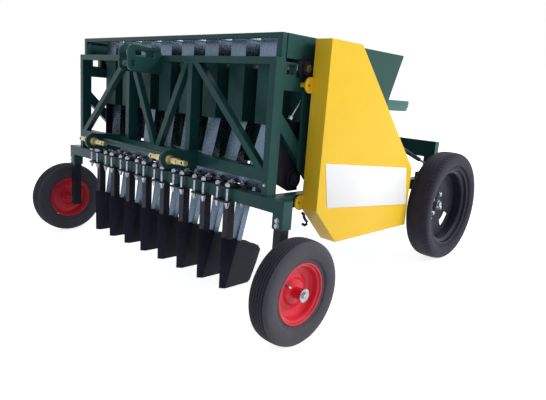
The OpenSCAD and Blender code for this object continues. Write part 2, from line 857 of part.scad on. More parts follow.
// Link plates on both sides of the sprockets, with rollers between them on the straight runs
module drive_chain() {
    band = 6;
    way = low_drive - top_drive;
    far = norm(way);
    r0 = pitch_r(top_teeth);
    r1 = pitch_r(low_teeth);
    run = sqrt(far * far - pow(r1 - r0, 2));
    count = floor(run / chain_pitch);
    color(black) stance() {
        for (s = [-1, 1])
            side_plate(sprocket_x + s * (sprocket_t + link_t) / 2 - link_t / 2,
                sprocket_x + s * (sprocket_t + link_t) / 2 + link_t / 2) difference() {
                loop(band);
                loop(-band);
            }
        for (s = [-1, 1]) {
            turn = atan2(way[1], way[0]) + s * acos((r0 - r1) / far);
            ahead = turn - s * 90;
            for (k = [2 : count - 3]) {
                d = (run - (count - 1) * chain_pitch) / 2 + k * chain_pitch;
                rod_x(sprocket_x - sprocket_t / 2, sprocket_x + sprocket_t / 2,
                    top_drive[0] + r0 * cos(turn) + d * cos(ahead),
                    top_drive[1] + r0 * sin(turn) + d * sin(ahead), 10, $fn = 12);
            }
        }
    }
}

guard_low = 122;
guard_front = post_y1 + 119;
guard_back = rear_axle_y - rear_tyre_d / 2 - 10;

module guard_outline() {
    polygon([[guard_front, bar_z - 4], [guard_front, hopper_top - 6],
        [guard_front + 193, hopper_top - 6], [guard_back, bar_z + 130],
        [guard_back, guard_low], [guard_front + 142, guard_low]]);
}

// Sheet cover with closed rim and an open inner side, held by two ears on spacers
module chain_guard() {
    ear_t = 6;
    ear_hole = 12;
    color(yellow) stance() {
        side_plate(guard_x - guard_t, guard_x) guard_outline();
        side_plate(guard_in, guard_x) difference() {
            guard_outline();
            offset(delta = -guard_t) guard_outline();
        }
        for (ear = [[post_x1, top_bar_z - 62], [side_x1, bar_z + 20]]) {
            side_plate(guard_in, guard_in + ear_t) difference() {
                translate([guard_front - 14, ear[1]]) circle(30);
                translate([guard_front - 22, ear[1]]) circle(d = ear_hole);
            }
            side_plate(ear[0], guard_in) translate([guard_front - 22, ear[1]]) difference() {
                circle(d = ear_hole + 5);
                circle(d = ear_hole);
            }
        }
    }
}

// ---- Seats ----

seat_x = 430;
seat_y = 1092;
seat_z = 656;
seat_w = 340;
seat_d = 300;
seat_h = 55;

seat_dish_r = 335;
seat_dip = 35;
arm_w = 50;
arm_t = 10;
arm_tail = 40;

module seats() {
    r = 45;
    color("#3F7D67") stance() both_sides() translate([seat_x, seat_y, seat_z]) difference() {
        hull() for (sx = [-1, 1], sy = [-1, 1]) translate([sx * (seat_w / 2 - r), sy * (seat_d / 2 - r), 0]) {
            cylinder(r = r - 8, h = seat_h / 2, $fn = 24);
            translate([0, 0, seat_h / 2]) cylinder(r = r, h = seat_h / 2, $fn = 24);
        }
        translate([0, 0, seat_h - seat_dip + seat_dish_r]) sphere(r = seat_dish_r, $fn = 64);
    }
}

// Flat arms from the hopper's rear wall to under the seats
module seat_arms() {
    low = seat_z - arm_t;
    color(black) stance() both_sides() {
        side_plate(seat_x - arm_w / 2, seat_x + arm_w / 2) polygon([[wall_y(low), low],
            [wall_y(seat_z), seat_z], [seat_y + arm_tail, seat_z], [seat_y + arm_tail, low]]);
        translate([seat_x, seat_y, low - 16]) cylinder(r = 22, h = 16);
    }
}

// ---- Wheels ----

// Tyre outline from bead to bead: r is the outer radius, b the rim's radius, w the width,
// with grooves as wide and deep as the named groove
groove = 3.5;

module tyre_section(r, b, w, grooves) {
    h = r - b;
    difference() {
        polygon([[b, -w * 0.36], [b + 0.12 * h, -w * 0.43], [b + 0.5 * h, -w * 0.5],
            [b + 0.8 * h, -w * 0.47], [r - 0.06 * h, -w * 0.36], [r, -w * 0.2], [r, w * 0.2],
            [r - 0.06 * h, w * 0.36], [b + 0.8 * h, w * 0.47], [b + 0.5 * h, w * 0.5],
            [b + 0.12 * h, w * 0.43], [b, w * 0.36], [b - 8, w * 0.36], [b - 8, -w * 0.36]]);
        for (k = [0 : grooves - 1]) {
            x = ((k + 0.5) / grooves - 0.5) * 0.76 * w;
            crown = r - 0.06 * h * max(0, abs(x) / w - 0.2) / 0.16;
            translate([crown - groove, x - groove / 2]) square([groove * 2, groove]);
        }
    }
}

module tyre(r, b, w, grooves) {
    rotate([0, 90, 0]) rotate_extrude($fn = 64) tyre_section(r, b, w, grooves);
}

front_rim_r = 126;
rear_rim_r = 203;
bead = 8;

// Dished barrow-type disc with a rolled flange on both edges
module front_rim() {
    hub_r = 22;
    w = front_tyre_w * 0.36;
    r = front_rim_r - bead;
    rotate([0, 90, 0]) {
        rotate_extrude($fn = 64) polygon([[hub_r, 6], [46, 3], [54, -6], [72, -9], [92, -4],
            [r - 20, 4], [r - 16, w - 10], [r - 9, w - 7], [r - 6, w], [r, w], [r, w - 6],
            [r - 12, w - 14], [r - 12, 14 - w], [r, 8 - w], [r, -w], [r - 6, -w], [r - 8, 6 - w],
            [r - 18, 14 - w], [r - 20, -6], [95, -9], [72, -14], [50, -11], [43, -2], [hub_r, 1]]);
        difference() {
            translate([0, 0, -46]) cylinder(r = hub_r, h = front_hub_end + 46);
            translate([0, 0, -60]) cylinder(r = axle_d / 2 + axle_gap, h = 140);
        }
    }
}

// Pressed steel disc with two hand holes, welded into a stepped rim
module rear_rim() {
    hub_r = 34;
    w = rear_tyre_w * 0.36;
    r = rear_rim_r - bead;
    rotate([0, 90, 0]) {
        rotate_extrude($fn = 64) polygon([[r - 30, -20], [r - 25, w - 22], [r - 21, w - 17],
            [r - 8, w - 13], [r - 5, w], [r, w], [r, w - 18], [r - 15, w - 22], [r - 19, w - 26],
            [r - 24, -20], [r - 19, 14 - w], [r, 10 - w], [r, -w], [r - 7, -w], [r - 25, 10 - w]]);
        difference() {
            rotate_extrude($fn = 64) polygon([[hub_r - 4, -36], [74, -36], [98, -26], [142, -24],
                [r - 27, -20], [r - 27, -26], [140, -30], [99, -32], [73, -42], [hub_r - 4, -42]]);
            for (a = [45, 225]) rotate(a) translate([0, 0, -50]) linear_extrude(50)
                intersection() {
                    difference() {
                        circle(r = 146);
                        circle(r = 104);
                    }
                    polygon([[0, 0], [200, -64], [200, 64]]);
                }
        }
        difference() {
            translate([0, 0, -60]) cylinder(r = hub_r, h = rear_hub_end + 60);
            translate([0, 0, -70]) cylinder(r = axle_d / 2 + axle_gap, h = 140);
        }
    }
}

module at_front() {
    stance() translate([front_track, 0, 0]) children();
}

module at_rear() {
    stance() translate([rear_track, rear_axle_y, rear_axle_z]) children();
}

module front_tyre_right() {
    color(rubber) at_front() tyre(front_tyre_d / 2, front_rim_r, front_tyre_w, 6);
}

module front_tyre_left() {
    mirror([1, 0, 0]) front_tyre_right();
}

module front_rim_right() {
    color(red) at_front() front_rim();
}

module front_rim_left() {
    mirror([1, 0, 0]) front_rim_right();
}

module rear_tyre_right() {
    color(rubber) at_rear() tyre(rear_tyre_d / 2, rear_rim_r, rear_tyre_w, 4);
}

module rear_tyre_left() {
    mirror([1, 0, 0]) rear_tyre_right();
}

module rear_rim_right() {
    color(black) at_rear() rear_rim();
}

module rear_rim_left() {
    mirror([1, 0, 0]) rear_rim_right();
}

toolbar();
leg_sockets();
wheel_legs();
front_axles();
front_posts();
top_bar();
lower_bar();
front_braces();
top_link_mast();
hitch_plates();
hitch_pins();
hitch_tube();
corner_posts();
upper_side_beams();
lower_side_beams();
side_braces();
rear_posts();
rear_beam();
rear_axle_plates();
rear_axles();
strut_barrels();
strut_rods();
hopper();
rim_rail();
lift_casings();
lift_covers();
boot_plates();
chutes();
chute_rail();
shanks();
openers();
clamp_plates();
clamp_bolts();
head_shaft();
foot_shaft();
bearings();
takeup_frames();
takeup_rod();
sprocket_shafts();
sprockets();
drive_chain();
chain_guard();
seats();
seat_arms();
front_tyre_left();
front_rim_left();
front_tyre_right();
front_rim_right();
rear_tyre_left();
rear_rim_left();
rear_tyre_right();
rear_rim_right();
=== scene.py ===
import json
import math

import bmesh
import bpy
from mathutils import Matrix, Vector


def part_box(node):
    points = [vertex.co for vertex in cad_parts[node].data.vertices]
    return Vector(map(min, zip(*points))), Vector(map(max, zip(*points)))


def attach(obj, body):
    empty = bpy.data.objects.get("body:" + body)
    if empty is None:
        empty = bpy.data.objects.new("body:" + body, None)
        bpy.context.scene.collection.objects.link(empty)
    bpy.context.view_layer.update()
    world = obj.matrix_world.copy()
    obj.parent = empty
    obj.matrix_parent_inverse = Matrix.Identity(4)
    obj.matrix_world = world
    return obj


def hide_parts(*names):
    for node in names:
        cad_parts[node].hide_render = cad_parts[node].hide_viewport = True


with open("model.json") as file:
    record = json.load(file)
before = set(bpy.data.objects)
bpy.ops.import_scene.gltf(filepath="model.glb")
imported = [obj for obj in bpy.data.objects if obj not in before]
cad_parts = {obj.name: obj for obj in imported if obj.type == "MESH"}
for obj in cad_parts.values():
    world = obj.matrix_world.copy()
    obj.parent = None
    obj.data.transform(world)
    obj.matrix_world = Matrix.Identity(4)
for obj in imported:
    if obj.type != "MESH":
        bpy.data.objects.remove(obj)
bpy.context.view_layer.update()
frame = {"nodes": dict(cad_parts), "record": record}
print("frame loaded")

# Metres, with the floor at z = 0 and the hitch side at -y
camera = {
    "place": (2.054, -1.88976, 1.0414),
    "look": (-0.67115, 0.68684, -0.27896),
    "lens": 33.84,
    "sensor": 36.0,
    "reach": 100.0,
}
cameraData = bpy.data.cameras.new("camera")
cameraData.lens = camera["lens"]
cameraData.sensor_width = camera["sensor"]
cameraData.clip_end = camera["reach"]
cameraObject = bpy.data.objects.new("camera", cameraData)
cameraObject.location = camera["place"]
cameraObject.rotation_mode = "QUATERNION"
cameraObject.rotation_quaternion = Vector(camera["look"]).to_track_quat("-Z", "Y")
bpy.context.scene.collection.objects.link(cameraObject)
bpy.context.scene.camera = cameraObject
bpy.context.scene.view_settings.view_transform = "Standard"
print("camera set")


# An sRGB hex value as the linear colour that shaders take
def linear(hexColor):
    parts = [int(hexColor[i : i + 2], 16) / 255 for i in (1, 3, 5)]
    return [((p + 0.055) / 1.055) ** 2.4 if p > 0.04045 else p / 12.92 for p in parts] + [1.0]


# Sets sockets by name or number: to a value, or to a link where the value is a node's output
def fill(tree, node, values):
    for key, value in values.items():
        socket = node.inputs[key]
        if isinstance(value, bpy.types.NodeSocket):
            tree.links.new(value, socket)
        else:
            socket.default_value = value


# A Mix node that mixes colours has its mask at 0, its colours at 6 and 7, and the result at 2
def addNode(tree, kind, values=None, **settings):
    node = tree.nodes.new(kind)
    for key, value in settings.items():
        setattr(node, key, value)
    fill(tree, node, values or {})
    return node


def newMaterial(name):
    material = bpy.data.materials.new(name)
    material.use_nodes = True
    tree = material.node_tree
    tree.nodes.clear()
    shader = addNode(tree, "ShaderNodeBsdfPrincipled")
    addNode(tree, "ShaderNodeOutputMaterial", {"Surface": shader.outputs["BSDF"]})
    return material, tree, shader


# Two-pack machine enamel, sprayed on steel: semi-gloss with a slight orange peel, greyed by dust in
# broad clouds, and paler in spots along the edges, partly rubbed paint and partly painted highlight
def sprayedEnamel(name, look):
    material, tree, shader = newMaterial(name)
    place = addNode(tree, "ShaderNodeTexCoord").outputs["Object"]
    cloud = addNode(tree, "ShaderNodeTexNoise", {
        "Vector": place, "Scale": 1 / look["cloud"], "Detail": 6.0, "Roughness": 0.6,
    }).outputs["Fac"]
    spots = addNode(tree, "ShaderNodeTexNoise", {
        "Vector": place, "Scale": 1 / look["spot"], "Detail": 3.0, "Roughness": 0.6,
    }).outputs["Fac"]
    peel = addNode(tree, "ShaderNodeTexNoise", {
        "Vector": place, "Scale": 1 / look["peel"], "Detail": 2.0, "Roughness": 0.6,
    }).outputs["Fac"]

    # Where the softened normal leaves the true one, the point is on an edge
    soft = addNode(tree, "ShaderNodeBevel", {"Radius": look["edge"]}, samples=4).outputs["Normal"]
    flat = addNode(tree, "ShaderNodeNewGeometry").outputs["Normal"]
    alike = addNode(tree, "ShaderNodeVectorMath", {0: soft, 1: flat}, operation="DOT_PRODUCT")
    edge = addNode(tree, "ShaderNodeMapRange", {
        "Value": alike.outputs["Value"], "From Min": 0.99, "From Max": 0.8,
    }).outputs["Result"]
    # Paler spots along the edges: partly rubbed paint, and partly a painted highlight where light catches
    # the edges
    wornAndHighlitSpots = addNode(tree, "ShaderNodeMapRange", {
        "Value": spots, "From Min": 0.42, "From Max": 0.62, "To Max": look["wearAndHighlight"],
    }).outputs["Result"]
    wornAndHighlitEdge = addNode(tree, "ShaderNodeMath", {0: edge, 1: wornAndHighlitSpots}, operation="MULTIPLY").outputs[0]

    dust = addNode(tree, "ShaderNodeMapRange", {
        "Value": cloud, "From Min": 0.4, "From Max": 0.75, "To Max": look["dust"],
    }).outputs["Result"]
    dusty = addNode(tree, "ShaderNodeMix", {
        0: dust, 6: linear(look["color"]), 7: linear(look["dusty"]),
    }, data_type="RGBA").outputs[2]
    color = addNode(tree, "ShaderNodeMix", {
        0: wornAndHighlitEdge, 6: dusty, 7: linear(look["wornAndHighlit"]),
    }, data_type="RGBA").outputs[2]
    rough = addNode(tree, "ShaderNodeMapRange", {
        "Value": cloud, "From Min": 0.3, "From Max": 0.8,
        "To Min": look["rough"] * 0.85, "To Max": look["rough"] * 1.4,
    }).outputs["Result"]
    bump = addNode(tree, "ShaderNodeBump", {
        "Height": peel, "Strength": 0.2, "Distance": 0.0003, "Normal": soft,
    }).outputs["Normal"]
    fill(tree, shader, {
        "Base Color": color, "Roughness": rough, "Specular Tint": linear(look["sheen"]), "Normal": bump,
    })
    return material


# Hot-dip galvanised sheet: blue-grey zinc whose spangles each turn the light a little differently,
# with duller stains
def galvanisedSheet(name, look):
    material, tree, shader = newMaterial(name)
    place = addNode(tree, "ShaderNodeTexCoord").outputs["Object"]
    crystals = addNode(tree, "ShaderNodeTexVoronoi", {"Vector": place, "Scale": 1 / look["spangle"]})
    tone = addNode(tree, "ShaderNodeSeparateColor", {"Color": crystals.outputs["Color"]}).outputs["Red"]
    cloud = addNode(tree, "ShaderNodeTexNoise", {
        "Vector": place, "Scale": 1 / look["cloud"], "Detail": 5.0, "Roughness": 0.6,
    }).outputs["Fac"]
    soft = addNode(tree, "ShaderNodeBevel", {"Radius": look["edge"]}, samples=4).outputs["Normal"]
    spangled = addNode(tree, "ShaderNodeMix", {
        0: tone, 6: linear(look["color"]), 7: linear(look["shade"]),
    }, data_type="RGBA").outputs[2]
    stained = addNode(tree, "ShaderNodeMapRange", {
        "Value": cloud, "From Min": 0.5, "From Max": 0.8, "To Max": look["stained"],
    }).outputs["Result"]
    color = addNode(tree, "ShaderNodeMix", {
        0: stained, 6: spangled, 7: linear(look["stain"]),
    }, data_type="RGBA").outputs[2]
    rough = addNode(tree, "ShaderNodeMapRange", {
        "Value": tone, "To Min": look["rough"] - 0.06, "To Max": look["rough"] + 0.08,
    }).outputs["Result"]
    bump = addNode(tree, "ShaderNodeBump", {
        "Height": cloud, "Strength": 0.25, "Distance": 0.0004, "Normal": soft,
    }).outputs["Normal"]
    fill(tree, shader, {
        "Base Color": color, "Metallic": look["metallic"], "Roughness": rough, "Normal": bump,
    })
    return material


# Plated or turned steel: bright metal, clouded by fine handling marks
def brightMetal(name, look):
    material, tree, shader = newMaterial(name)
    place = addNode(tree, "ShaderNodeTexCoord").outputs["Object"]
    marks = addNode(tree, "ShaderNodeTexNoise", {
        "Vector": place, "Scale": 1 / look["mark"], "Detail": 6.0, "Roughness": 0.6,
    }).outputs["Fac"]
    soft = addNode(tree, "ShaderNodeBevel", {"Radius": look["edge"]}, samples=4).outputs["Normal"]
    marked = addNode(tree, "ShaderNodeMapRange", {
        "Value": marks, "From Min": 0.4, "From Max": 0.72,
    }).outputs["Result"]
    color = addNode(tree, "ShaderNodeMix", {
        0: marked, 6: linear(look["color"]), 7: linear(look["shade"]),
    }, data_type="RGBA").outputs[2]
    rough = addNode(tree, "ShaderNodeMapRange", {
        "Value": marks, "From Min": 0.3, "From Max": 0.7,
        "To Min": look["rough"] * 0.75, "To Max": look["rough"] * 1.35,
    }).outputs["Result"]
    fill(tree, shader, {"Base Color": color, "Metallic": 1.0, "Roughness": rough, "Normal": soft})
    return material


# Moulded tyre rubber: matt, with a grey bloom and road dust
def tyreRubber(name, look):
    material, tree, shader = newMaterial(name)
    place = addNode(tree, "ShaderNodeTexCoord").outputs["Object"]
    bloom = addNode(tree, "ShaderNodeTexNoise", {
        "Vector": place, "Scale": 1 / look["patch"], "Detail": 8.0, "Roughness": 0.65,
    }).outputs["Fac"]
    grain = addNode(tree, "ShaderNodeTexNoise", {
        "Vector": place, "Scale": 1 / look["grain"], "Detail": 3.0, "Roughness": 0.6,
    }).outputs["Fac"]
    dust = addNode(tree, "ShaderNodeMapRange", {
        "Value": bloom, "From Min": 0.42, "From Max": 0.75, "To Max": look["dust"],
    }).outputs["Result"]
    color = addNode(tree, "ShaderNodeMix", {
        0: dust, 6: linear(look["color"]), 7: linear(look["bloom"]),
    }, data_type="RGBA").outputs[2]
    rough = addNode(tree, "ShaderNodeMapRange", {
        "Value": bloom, "From Min": 0.3, "From Max": 0.8,
        "To Min": look["rough"] - 0.06, "To Max": look["rough"] + 0.12,
    }).outputs["Result"]
    bump = addNode(tree, "ShaderNodeBump", {
        "Height": grain, "Strength": 0.3, "Distance": 0.0004,
    }).outputs["Normal"]
    fill(tree, shader, {
        "Base Color": color, "Roughness": rough, "Specular Tint": linear(look["sheen"]), "Normal": bump,
    })
    return material


# Sizes in metres: dust clouds about 170 mm wide, rubbed and painted-highlight edge spots 9 mm, and an orange
# peel that is about 1.5 mm on real paint and drawn at 4 mm so that it shows
# Each paler edge colour is partly worn paint and partly painted highlight
green = {
    "color": "#1F4844", "dusty": "#2F5752", "wornAndHighlit": "#5F766D", "sheen": "#6E7F8A",
    "dust": 0.4, "wearAndHighlight": 0.45, "rough": 0.34,
    "cloud": 0.17, "spot": 0.009, "peel": 0.004, "edge": 0.003,
}
seatGreen = {**green, "color": "#3F706B", "dusty": "#527E79"}
black = {
    **green, "color": "#1E1E28", "dusty": "#3A3940", "wornAndHighlit": "#686870", "sheen": "#737A90",
    "rough": 0.42,
}
yellow = {
    **green, "color": "#FBCD2C", "dusty": "#F0C038", "wornAndHighlit": "#F9E48E", "sheen": "#A09C90",
    "wearAndHighlight": 0.3,
}
red = {
    **green, "color": "#E02C3E", "dusty": "#E2606C", "wornAndHighlit": "#E88E96", "sheen": "#B8A8B0",
    "dust": 0.3, "rough": 0.24,
}
white = {**yellow, "color": "#FFFFFF", "dusty": "#F2F2F0", "wornAndHighlit": "#FFFFFF"}

# Spangles of 6 mm, in stains about 110 mm wide
zincSheet = {
    "color": "#68798B", "shade": "#627283", "stain": "#4A5965", "stained": 0.45,
    "metallic": 0.9, "rough": 0.27, "spangle": 0.006, "cloud": 0.11, "edge": 0.001,
}

# Handling marks 10 to 20 mm wide
whiteZinc = {"color": "#ACB2BB", "shade": "#7A818A", "rough": 0.26, "mark": 0.012, "edge": 0.0008}
yellowZinc = {**whiteZinc, "color": "#CFC49B", "shade": "#A8955F", "rough": 0.3, "mark": 0.02}
turnedSteel = {**whiteZinc, "color": "#8E9094", "shade": "#5B5856", "rough": 0.32, "mark": 0.015}
chainSteel = {**whiteZinc, "color": "#3E3934", "shade": "#221F1C", "rough": 0.4, "mark": 0.01}

# Bloom in patches of 60 mm. The mould's grain is about 0.5 mm, drawn at 2.5 mm so that it shows
sidewall = {
    "color": "#4E4C53", "bloom": "#626065", "sheen": "#7A7A84",
    "dust": 0.5, "rough": 0.66, "patch": 0.06, "grain": 0.0025,
}
# Darker than the sidewall as painted shade on the crown, which turns away from the key lamp
tread = {**sidewall, "color": "#34333A", "bloom": "#49474E"}
rearRubber = {**sidewall, "color": "#292832", "bloom": "#3B3A42"}

looks = {
    "green_paint": sprayedEnamel("Green machine enamel", green),  # deep green with a low sheen
    "seat_paint": sprayedEnamel("Green seat enamel", seatGreen),  # paler green
    "black_paint": sprayedEnamel("Black machine enamel", black),  # blue-black, duller than the green
    "yellow_paint": sprayedEnamel("Yellow guard enamel", yellow),  # bright and even
    "red_paint": sprayedEnamel("Red wheel enamel", red),  # the glossiest, so the dish shows lights
    "white_paint": sprayedEnamel("White plate enamel", white),  # clean white
    "tyre": tyreRubber("Tyre sidewall rubber", sidewall),  # greyed by bloom
    "tread": tyreRubber("Tyre tread rubber with painted shade", tread),  # darker, as painted shade on the crown
    "rear_tyre": tyreRubber("Dark tyre rubber", rearRubber),  # near black
    "galvanised_sheet": galvanisedSheet("Galvanised sheet steel", zincSheet),  # blue-grey spangle
    "white_zinc": brightMetal("Bright zinc plated steel", whiteZinc),  # cool bright bolts
    "zinc_steel": brightMetal("Yellow passivated zinc plated steel", yellowZinc),  # straw-gold pins
    "bare_steel": brightMetal("Turned bare steel", turnedSteel),  # plain grey shafts
    "chain_steel": brightMetal("Oiled chain steel", chainSteel),  # dark brown-grey
}
slots = {part["node"]: part["material_slot"] for part in frame["record"]["subparts"]}
for name, node in frame["nodes"].items():
    node.data.materials.clear()
    node.data.materials.append(looks["seat_paint" if name == "seats" else slots[name]])
print("materials made")


def middle(node):
    low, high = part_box(node)
    return (Vector(low) + Vector(high)) / 2


# The planter is drawn level on its own axes, with their zero at the front axle, and leans back on
# its four tyres by this angle
lean = math.radians(6.1487)
axle = middle("front_axles")
leaning = Matrix.Rotation(-lean, 4, "X")
stance = Matrix.Translation((0, axle.y, axle.z)) @ leaning


# A node's lowest and highest corners along the level machine's axes
def levelBox(node):
    toLevel = stance.inverted()
    points = [toLevel @ vert.co for vert in frame["nodes"][node].data.vertices]
    return [Vector([pick(p[i] for p in points) for i in range(3)]) for pick in (min, max)]


# Turns +Z to the given axis at a place on the level machine
def facing(place, axis):
    turn = Vector(axis).to_track_quat("Z", "Y").to_matrix().to_4x4()
    return stance @ Matrix.Translation(place) @ turn


# Makes a piece of a mesh in the look named and keeps edges over 35 degrees sharp
def newPiece(name, mesh, look, body="frame", slot=None):
    bmesh.ops.recalc_face_normals(mesh, faces=mesh.faces)
    data = bpy.data.meshes.new(name)
    mesh.to_mesh(data)
    mesh.free()
    data.materials.append(looks[look])
    for face in data.polygons:
        face.use_smooth = True
    data.set_sharp_from_angle(angle=math.radians(35))
    piece = bpy.data.objects.new(name, data)
    bpy.context.scene.collection.objects.link(piece)
    slot = slot or look
    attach(piece, body)
    return piece


# Joins rings of vertices into a closed form
def addRings(mesh, rings):
    count = len(rings[0])
    for low, high in zip(rings, rings[1:]):
        for i in range(count):
            mesh.faces.new([low[i], low[(i + 1) % count], high[(i + 1) % count], high[i]])
    mesh.faces.new(rings[0])
    mesh.faces.new(rings[-1])


def circle(radius, height, sides):
    turns = [2 * math.pi * i / sides for i in range(sides)]
    return [Vector((radius * math.cos(a), radius * math.sin(a), height)) for a in turns]


# A turned form: circles of (radius, height) around the matrix's Z axis
def addTurned(mesh, matrix, outline, sides):
    addRings(mesh, [
        [mesh.verts.new(matrix @ spot) for spot in circle(radius, height, sides)]
        for radius, height in outline
    ])


# A chamfered hexagon head on its washer, in shares of the thread's size
boltHead = {"washer": 1.05, "washerEdge": 0.98, "washerSide": 0.14, "washerTop": 0.18,
            "hex": 0.92, "hexEdge": 0.76, "hexSide": 0.52, "hexTop": 0.64}


def addBolt(mesh, matrix, thread):
    h = {key: share * thread for key, share in boltHead.items()}
    seat = h["washerTop"]
    addTurned(mesh, matrix, [
        (h["washer"], 0), (h["washer"], h["washerSide"]), (h["washerEdge"], seat),
    ], 20)
    addTurned(mesh, matrix, [
        (h["hex"], seat), (h["hex"], seat + h["hexSide"]), (h["hexEdge"], seat + h["hexTop"]),
    ], 6)


# A sheet or block between two corners, with rounded edges
def addSheet(mesh, matrix, low, high, rounding):
    low, high = Vector(low), Vector(high)
    corners = bmesh.ops.create_cube(mesh, size=1.0)["verts"]
    for vert in corners:
        vert.co = (low + high) / 2 + Vector([c * s for c, s in zip(vert.co, high - low)])
    edges = list({edge for vert in corners for edge in vert.link_edges})
    rounded = bmesh.ops.bevel(mesh, geom=edges, offset=rounding, segments=2, affect="EDGES", profile=0.6)
    verts = {v for face in rounded["faces"] for v in face.verts} | {v for v in corners if v.is_valid}
    for vert in verts:
        vert.co = matrix @ vert.co


# A round wire through points on the level machine
def addWire(mesh, points, radius, sides=8):
    rings = []
    for i, point in enumerate(points):
        ahead = points[min(i + 1, len(points) - 1)] - points[max(i - 1, 0)]
        turn = ahead.to_track_quat("Z", "Y").to_matrix()
        rings.append([mesh.verts.new(stance @ (point + turn @ spot)) for spot in circle(radius, 0, sides)])
    addRings(mesh, rings)


# Two set bolts in the front of each leg socket and one low in each outer post. Rises are from the
# socket's and the post's lower end
frameBolt = {"socketRises": (0.015, 0.035), "socketThread": 0.01,
             "postRise": 0.041, "postInset": 0.015, "postThread": 0.006}
socketLow, socketHigh = levelBox("leg_sockets")
postLow, postHigh = levelBox("front_posts")
socketX = (levelBox("toolbar")[1].x + socketHigh.x) / 2
postX = postHigh.x - frameBolt["postInset"]
forward = (0, -1, 0)  # towards the hitch
frameBolts = bmesh.new()
for side in (-1, 1):
    for rise in frameBolt["socketRises"]:
        socketSpot = (side * socketX, socketLow.y, socketLow.z + rise)
        addBolt(frameBolts, facing(socketSpot, forward), frameBolt["socketThread"])
    postSpot = (side * postX, postLow.y, postLow.z + frameBolt["postRise"])
    addBolt(frameBolts, facing(postSpot, forward), frameBolt["postThread"])
newPiece("frameBolts", frameBolts, "white_zinc")
print("bolts made")

# Folded caps that close the elevator casings up to the hopper's rim
casingCap = {"count": 8, "width": 0.09, "height": 0.011, "backGap": 0.001, "rounding": 0.002}
casingLow, casingHigh = levelBox("lift_casings")
casingStep = (casingHigh.x - casingLow.x - casingCap["width"]) / (casingCap["count"] - 1)
capBack = casingHigh.y - casingCap["backGap"]
capTop = casingHigh.z + casingCap["height"]
casingCaps = bmesh.new()
for i in range(casingCap["count"]):
    x = casingLow.x + casingStep * i
    addSheet(casingCaps, stance, (x, casingLow.y, casingHigh.z), (x + casingCap["width"], capBack, capTop),
             casingCap["rounding"])
newPiece("casingCaps", casingCaps, "galvanised_sheet")
print("casing caps made")

# Blank plate on the guard: a slanted sheet whose long edges fall towards the rear and whose ends
# lean forward. Its middle is measured from the guard's lower front corner
plate = {"length": 0.618, "height": 0.182, "thick": 0.0015, "rounding": 0.0006,
         "fall": 4.4, "slant": 11.5, "middle": (0.398, 0.217)}
guardLow, guardHigh = levelBox("chain_guard")
fall = math.radians(plate["fall"])
slant = math.radians(plate["slant"])
onGuard = Matrix.Identity(4)
onGuard.col[1] = (0, math.cos(fall), -math.sin(fall), 0)
onGuard.col[2] = (0, -math.sin(slant), math.cos(slant), 0)
onGuard.translation = (guardHigh.x, guardLow.y + plate["middle"][0], guardLow.z + plate["middle"][1])
halfLength = plate["length"] / 2
halfHeight = plate["height"] / 2
signPlate = bmesh.new()
addSheet(signPlate, stance @ onGuard, (0, -halfLength, -halfHeight),
         (plate["thick"], halfLength, halfHeight), plate["rounding"])
newPiece("signPlate", signPlate, "white_paint")
print("plate made")

# Ribbed front tyres, and road tyres at the rear with worn grooves and cuts across the shoulders
frontTyre = {"bead": 0.126, "steps": 240, "grooves": 6, "groove": 0.0036, "depth": 0.004,
             "wave": 0.0012, "waves": 60, "cuts": 0, "cutDepth": 0.0,
             "side": "tyre", "crown": "tread"}
rearTyre = {"bead": 0.203, "steps": 300, "grooves": 6, "groove": 0.0032, "depth": 0.0018,
            "wave": 0.0, "waves": 0, "cuts": 75, "cutDepth": 0.0025,
            "side": "rear_tyre", "crown": "rear_tyre"}

# The crown reaches this share of the width to each side of the middle. The grooves fill most of it,
# and the tread's darker look, a painted shade, a little less, so that the beads keep the sidewall's look
crown = {"reach": 0.4, "grooved": 0.95, "tread": 0.85}

# Shoulder cuts lie between two shares of the width and take up a share of their spacing. The lean
# is how many spacings they would turn over the whole width
shoulder = {"from": 0.24, "to": 0.45, "share": 0.25, "lean": 1.6}


# Smooth outline of half a tyre's section, from bead to crown, as (distance from the middle, radius)
def tyreOutline(radius, bead, width):
    wall = radius - bead
    corners = [
        (0.36, bead - 0.006), (0.365, bead + 0.004), (0.43, bead + 0.12 * wall),
        (0.475, bead + 0.3 * wall), (0.497, bead + 0.5 * wall), (0.49, bead + 0.68 * wall),
        (0.462, bead + 0.82 * wall), (0.40, radius - 0.09 * wall), (0.34, radius - 0.045 * wall),
        (0.2, radius - 0.008 * wall), (0.0, radius),
    ]
    points = [Vector((share * width, r)) for share, r in corners]
    last = len(points) - 1
    mirrored = Vector((-points[last - 1].x, points[last - 1].y))
    outline = []
    for i in range(last):
        a, b, c = points[max(i - 1, 0)], points[i], points[i + 1]
        d = points[i + 2] if i + 2 <= last else mirrored
        onCrown = i >= 3 and b.x <= 0.42 * width
        steps = 9 if onCrown else 3  # the grooves need finer steps
        for k in range(steps):
            t = k / steps
            square = (2 * a - 5 * b + 4 * c - d) * t * t
            cube = (3 * b - a - 3 * c + d) * t * t * t
            outline.append(0.5 * (2 * b + (c - a) * t + square + cube))
    outline.append(points[last])
    return outline


# How far the tread lies below the plain outline, at a distance x from the middle
def treadDepth(tyre, x, width, angle):
    depth = 0.0
    if abs(x) < crown["reach"] * width:
        grooved = 2 * crown["reach"] * width * crown["grooved"]
        wavy = x + tyre["wave"] * math.sin(angle * tyre["waves"])
        rib = (wavy / grooved + 0.5) * tyre["grooves"]
        away = abs(rib - math.floor(rib) - 0.5) * grooved / tyre["grooves"]
        if away < tyre["groove"] / 2 and 0 <= rib < tyre["grooves"]:
            depth = tyre["depth"]
    if tyre["cuts"] and shoulder["from"] * width < abs(x) < shoulder["to"] * width:
        turn = angle / (2 * math.pi) * tyre["cuts"] + abs(x) / width * shoulder["lean"]
        if turn - math.floor(turn) < shoulder["share"]:
            depth = max(depth, tyre["cutDepth"])
    return depth


